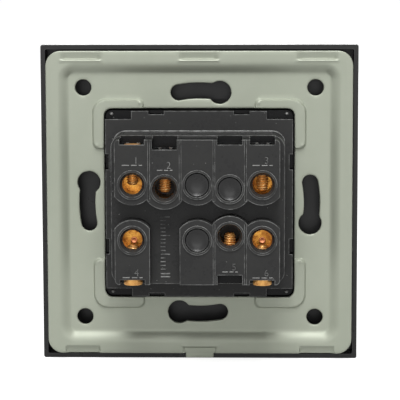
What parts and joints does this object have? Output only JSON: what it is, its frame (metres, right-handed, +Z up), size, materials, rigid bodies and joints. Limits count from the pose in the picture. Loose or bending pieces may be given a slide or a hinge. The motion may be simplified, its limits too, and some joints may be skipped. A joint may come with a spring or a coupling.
{
  "type": "double light switch",
  "caption": "Wall light switch with paired rockers in a square dark cover, a pressed steel mounting frame behind it and a black housing with brass screw terminals.",
  "frame": {"origin": "centre of the wall plane: the rear face of the steel frame's outer border, on the axis of the square cover", "axes": "+Z up, -Y out of the wall towards the person at the rockers, +Y into the wall, +X to the right seen from the rockers' side"},
  "size_m": [0.0856, 0.0334, 0.0856],
  "materials": {
    "cover_black": "smooth semi-gloss moulding",
    "frame_steel": "pressed zinc-plated steel with a soft grey-green sheen",
    "housing_black": "satin black thermoset moulding",
    "terminal_brass": "drawn brass",
    "screw_brass": "turned brass, bright",
    "strip_brass": "stamped brass strip",
    "bar_copper": "stamped copper alloy",
    "contact_silver": "silver alloy rivets",
    "rocker_black": "fine satin moulding",
    "carrier_white": "natural nylon moulding",
    "plunger_nylon": "acetal moulding",
    "spring_steel": "spring wire"
  },
  "bodies": {
    "housing": {"cover_plate": "cover_black", "mounting_frame": "frame_steel", "front_housing": "housing_black", "terminal_housing": "housing_black", "terminal_block_right_way_1": "terminal_brass", "way_strip_right_1": "strip_brass", "terminal_block_right_common": "terminal_brass", "common_strip_right": "strip_brass", "terminal_block_right_way_2": "terminal_brass", "way_strip_right_2": "strip_brass", "terminal_block_left_way_1": "terminal_brass", "way_strip_left_1": "strip_brass", "terminal_block_left_common": "terminal_brass", "common_strip_left": "strip_brass", "terminal_block_left_way_2": "terminal_brass", "way_strip_left_2": "strip_brass", "fixed_contacts_left": "contact_silver", "fixed_contacts_right": "contact_silver"},
    "rocker_left": {"rocker_left": "rocker_black", "rocker_carrier_left": "carrier_white", "plunger_spring_left": "spring_steel"},
    "plunger_left": {"plunger_left": "plunger_nylon"},
    "contact_left": {"contact_bar_left": "bar_copper", "bar_contacts_left": "contact_silver"},
    "rocker_right": {"rocker_right": "rocker_black", "rocker_carrier_right": "carrier_white", "plunger_spring_right": "spring_steel"},
    "plunger_right": {"plunger_right": "plunger_nylon"},
    "contact_right": {"contact_bar_right": "bar_copper", "bar_contacts_right": "contact_silver"},
    "screw_right_way_1": {"terminal_screw_right_way_1": "screw_brass"},
    "screw_right_common": {"terminal_screw_right_common": "screw_brass"},
    "screw_right_way_2": {"terminal_screw_right_way_2": "screw_brass"},
    "screw_left_way_1": {"terminal_screw_left_way_1": "screw_brass"},
    "screw_left_common": {"terminal_screw_left_common": "screw_brass"},
    "screw_left_way_2": {"terminal_screw_left_way_2": "screw_brass"}
  },
  "joints": [
    {"name": "rocker_left_tilt", "type": "hinge", "parent": "housing", "child": "rocker_left", "pos_m": [-0.01255, -0.007, 0], "axis": [1, 0, 0], "range_deg": [0, 10]},
    {"name": "plunger_left_slide", "type": "slide", "parent": "rocker_left", "child": "plunger_left", "axis": [0, -0.9962, 0.0872], "range_m": [0, 0.001], "stiffness_N_per_m": 150, "springref_m": -0.0015, "deforming": ["plunger_spring_left"]},
    {"name": "contact_left_rock", "type": "hinge", "parent": "housing", "child": "contact_left", "pos_m": [-0.01255, 0.0023, 0], "axis": [1, 0, 0], "range_deg": [-10, 0]},
    {"name": "rocker_right_tilt", "type": "hinge", "parent": "housing", "child": "rocker_right", "pos_m": [0.01255, -0.007, 0], "axis": [1, 0, 0], "range_deg": [0, 10]},
    {"name": "plunger_right_slide", "type": "slide", "parent": "rocker_right", "child": "plunger_right", "axis": [0, -0.9962, 0.0872], "range_m": [0, 0.001], "stiffness_N_per_m": 150, "springref_m": -0.0015, "deforming": ["plunger_spring_right"]},
    {"name": "contact_right_rock", "type": "hinge", "parent": "housing", "child": "contact_right", "pos_m": [0.01255, 0.0023, 0], "axis": [1, 0, 0], "range_deg": [-10, 0]},
    {"name": "screw_right_way_1_travel", "type": "slide", "parent": "housing", "child": "screw_right_way_1", "axis": [0, 0, -1], "range_m": [-0.00286, 0.00213]},
    {"name": "screw_right_common_travel", "type": "slide", "parent": "housing", "child": "screw_right_common", "axis": [0, 0, -1], "range_m": [-0.00364, 0.00135]},
    {"name": "screw_right_way_2_travel", "type": "slide", "parent": "housing", "child": "screw_right_way_2", "axis": [0, 0, 1], "range_m": [-0.00104, 0.00395]},
    {"name": "screw_left_way_1_travel", "type": "slide", "parent": "housing", "child": "screw_left_way_1", "axis": [0, 0, -1], "range_m": [-0.00442, 0.00057]},
    {"name": "screw_left_common_travel", "type": "slide", "parent": "housing", "child": "screw_left_common", "axis": [0, 0, 1], "range_m": [-0.00312, 0.00187]},
    {"name": "screw_left_way_2_travel", "type": "slide", "parent": "housing", "child": "screw_left_way_2", "axis": [0, 0, 1], "range_m": [-0.00104, 0.00395]}
  ],
  "couplings": [
    {"joint": "contact_left_rock", "follows": "rocker_left_tilt", "ratio": -1},
    {"joint": "contact_right_rock", "follows": "rocker_right_tilt", "ratio": -1}
  ]
}
